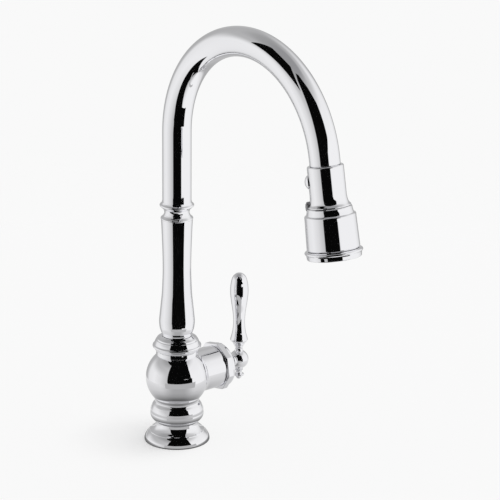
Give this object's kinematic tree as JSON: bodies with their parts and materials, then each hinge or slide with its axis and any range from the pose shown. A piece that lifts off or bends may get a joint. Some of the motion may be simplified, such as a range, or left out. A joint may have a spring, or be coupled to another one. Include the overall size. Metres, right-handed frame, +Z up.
{
  "type": "pull down kitchen faucet",
  "caption": "Pull-down kitchen faucet: gooseneck spout on a turned column and ball body, side lever, docking spray head with push buttons, threaded deck shank.",
  "frame": {"origin": "centre of the base's underside, where the shank enters the deck", "axes": "+Z up along the column, -Y towards the spout's outlet, +X towards the lever"},
  "size_m": [0.1258, 0.2917, 0.594],
  "materials": {
    "chrome": "polished chrome plate over cast and drawn brass",
    "brass": "machined brass",
    "copper": "drawn copper tube",
    "steel": "bright stainless steel",
    "black_rubber": "moulded rubber",
    "white_plastic": "moulded acetal",
    "dark_plastic": "moulded plastic",
    "ceramic": "lapped ceramic",
    "magnet": "sintered magnet",
    "hose_braid": "woven nylon braid",
    "nozzle_silicone": "soft silicone",
    "satin_plate": "satin plated plate",
    "ribbed_button": "smoked chrome-look plastic with grip ribs"
  },
  "bodies": {
    "base": {"base_flange": "chrome", "deck_gasket": "black_rubber", "threaded_shank": "brass", "body_casting": "chrome", "hot_inlet": "copper", "cold_inlet": "copper", "outlet_tube": "copper", "swivel_post": "brass", "post_o_rings": "black_rubber", "thrust_washer": "white_plastic", "retaining_clip": "steel", "cartridge_seal": "black_rubber", "cartridge_housing": "white_plastic", "fixed_disc": "ceramic", "cartridge_nut": "brass", "bonnet_nut": "chrome"},
    "spout": {"swivel_collar": "chrome", "column": "chrome", "column_cap": "chrome", "gooseneck": "chrome", "dock_sleeve": "white_plastic", "dock_magnet": "magnet", "spray_hose": "hose_braid", "hose_coupling": "steel"},
    "hose_end": {"hose_ferrule": "steel", "hose_stem": "brass", "stem_o_ring": "black_rubber"},
    "spray_head": {"dock_armature": "steel", "inlet_nut": "brass", "waterway": "white_plastic", "check_valve": "dark_plastic", "head_grip": "chrome", "head_bell": "chrome", "spray_ring": "chrome", "distributor": "white_plastic", "nozzle_pad": "nozzle_silicone", "spray_face": "satin_plate", "aerator": "dark_plastic", "mode_spring": "steel", "pause_spring": "steel"},
    "mode_push": {"mode_button": "chrome"},
    "pause_push": {"pause_button": "ribbed_button"},
    "diverter": {"diverter_spool": "dark_plastic"},
    "rotor": {"stem_carrier": "dark_plastic", "pivot_pin": "steel"},
    "lever": {"lever_stem": "steel", "dome_cap": "chrome", "handle_hub": "chrome", "hub_set_screw": "steel", "lever_handle": "chrome", "lever_finial": "chrome"},
    "disc": {"moving_disc": "ceramic", "disc_coupler": "dark_plastic"},
    "clamp": {"deck_washer": "black_rubber", "clamp_washer": "steel", "mounting_nut": "brass"}
  },
  "joints": [
    {"name": "spout_swivel", "type": "hinge", "parent": "base", "child": "spout", "pos_m": [0, 0, 0], "axis": [0, 0, 1], "continuous": true},
    {"name": "head_pull", "type": "slide", "parent": "spout", "child": "hose_end", "axis": [0, -0.1736, -0.9848], "range_m": [0, 0.22], "stiffness_N_per_m": 10, "springref_m": -0.55, "deforming": ["spray_hose"]},
    {"name": "head_swivel", "type": "hinge", "parent": "hose_end", "child": "spray_head", "pos_m": [0, -0.21634, 0.34343], "axis": [0, -0.1736, -0.9848], "continuous": true},
    {"name": "mode_press", "type": "slide", "parent": "spray_head", "child": "mode_push", "axis": [0.7431, -0.659, 0.1162], "range_m": [0, 0.002], "stiffness_N_per_m": 600, "springref_m": -0.003, "deforming": ["mode_spring"]},
    {"name": "pause_press", "type": "slide", "parent": "spray_head", "child": "pause_push", "axis": [0.7431, -0.659, 0.1162], "range_m": [0, 0.002], "stiffness_N_per_m": 600, "springref_m": -0.003, "deforming": ["pause_spring"]},
    {"name": "diverter_shift", "type": "slide", "parent": "spray_head", "child": "diverter", "axis": [0, -0.1736, -0.9848], "range_m": [0, 0.002]},
    {"name": "temperature", "type": "hinge", "parent": "base", "child": "rotor", "pos_m": [0.052, 0, 0.0673], "axis": [1, 0, 0], "range_deg": [-45, 45]},
    {"name": "flow", "type": "hinge", "parent": "rotor", "child": "lever", "pos_m": [0.052, 0, 0.0673], "axis": [0, 1, 0], "range_deg": [0, 22]},
    {"name": "disc_shift", "type": "slide", "parent": "rotor", "child": "disc", "axis": [0, 0, 1], "range_m": [0, 0.0053]},
    {"name": "clamp_travel", "type": "slide", "parent": "base", "child": "clamp", "axis": [0, 0, 1], "range_m": [-0.07, 0.027]}
  ],
  "couplings": [
    {"joint": "diverter_shift", "follows": "mode_press", "ratio": 1},
    {"joint": "disc_shift", "follows": "flow", "m_per_rad": 0.0135}
  ]
}
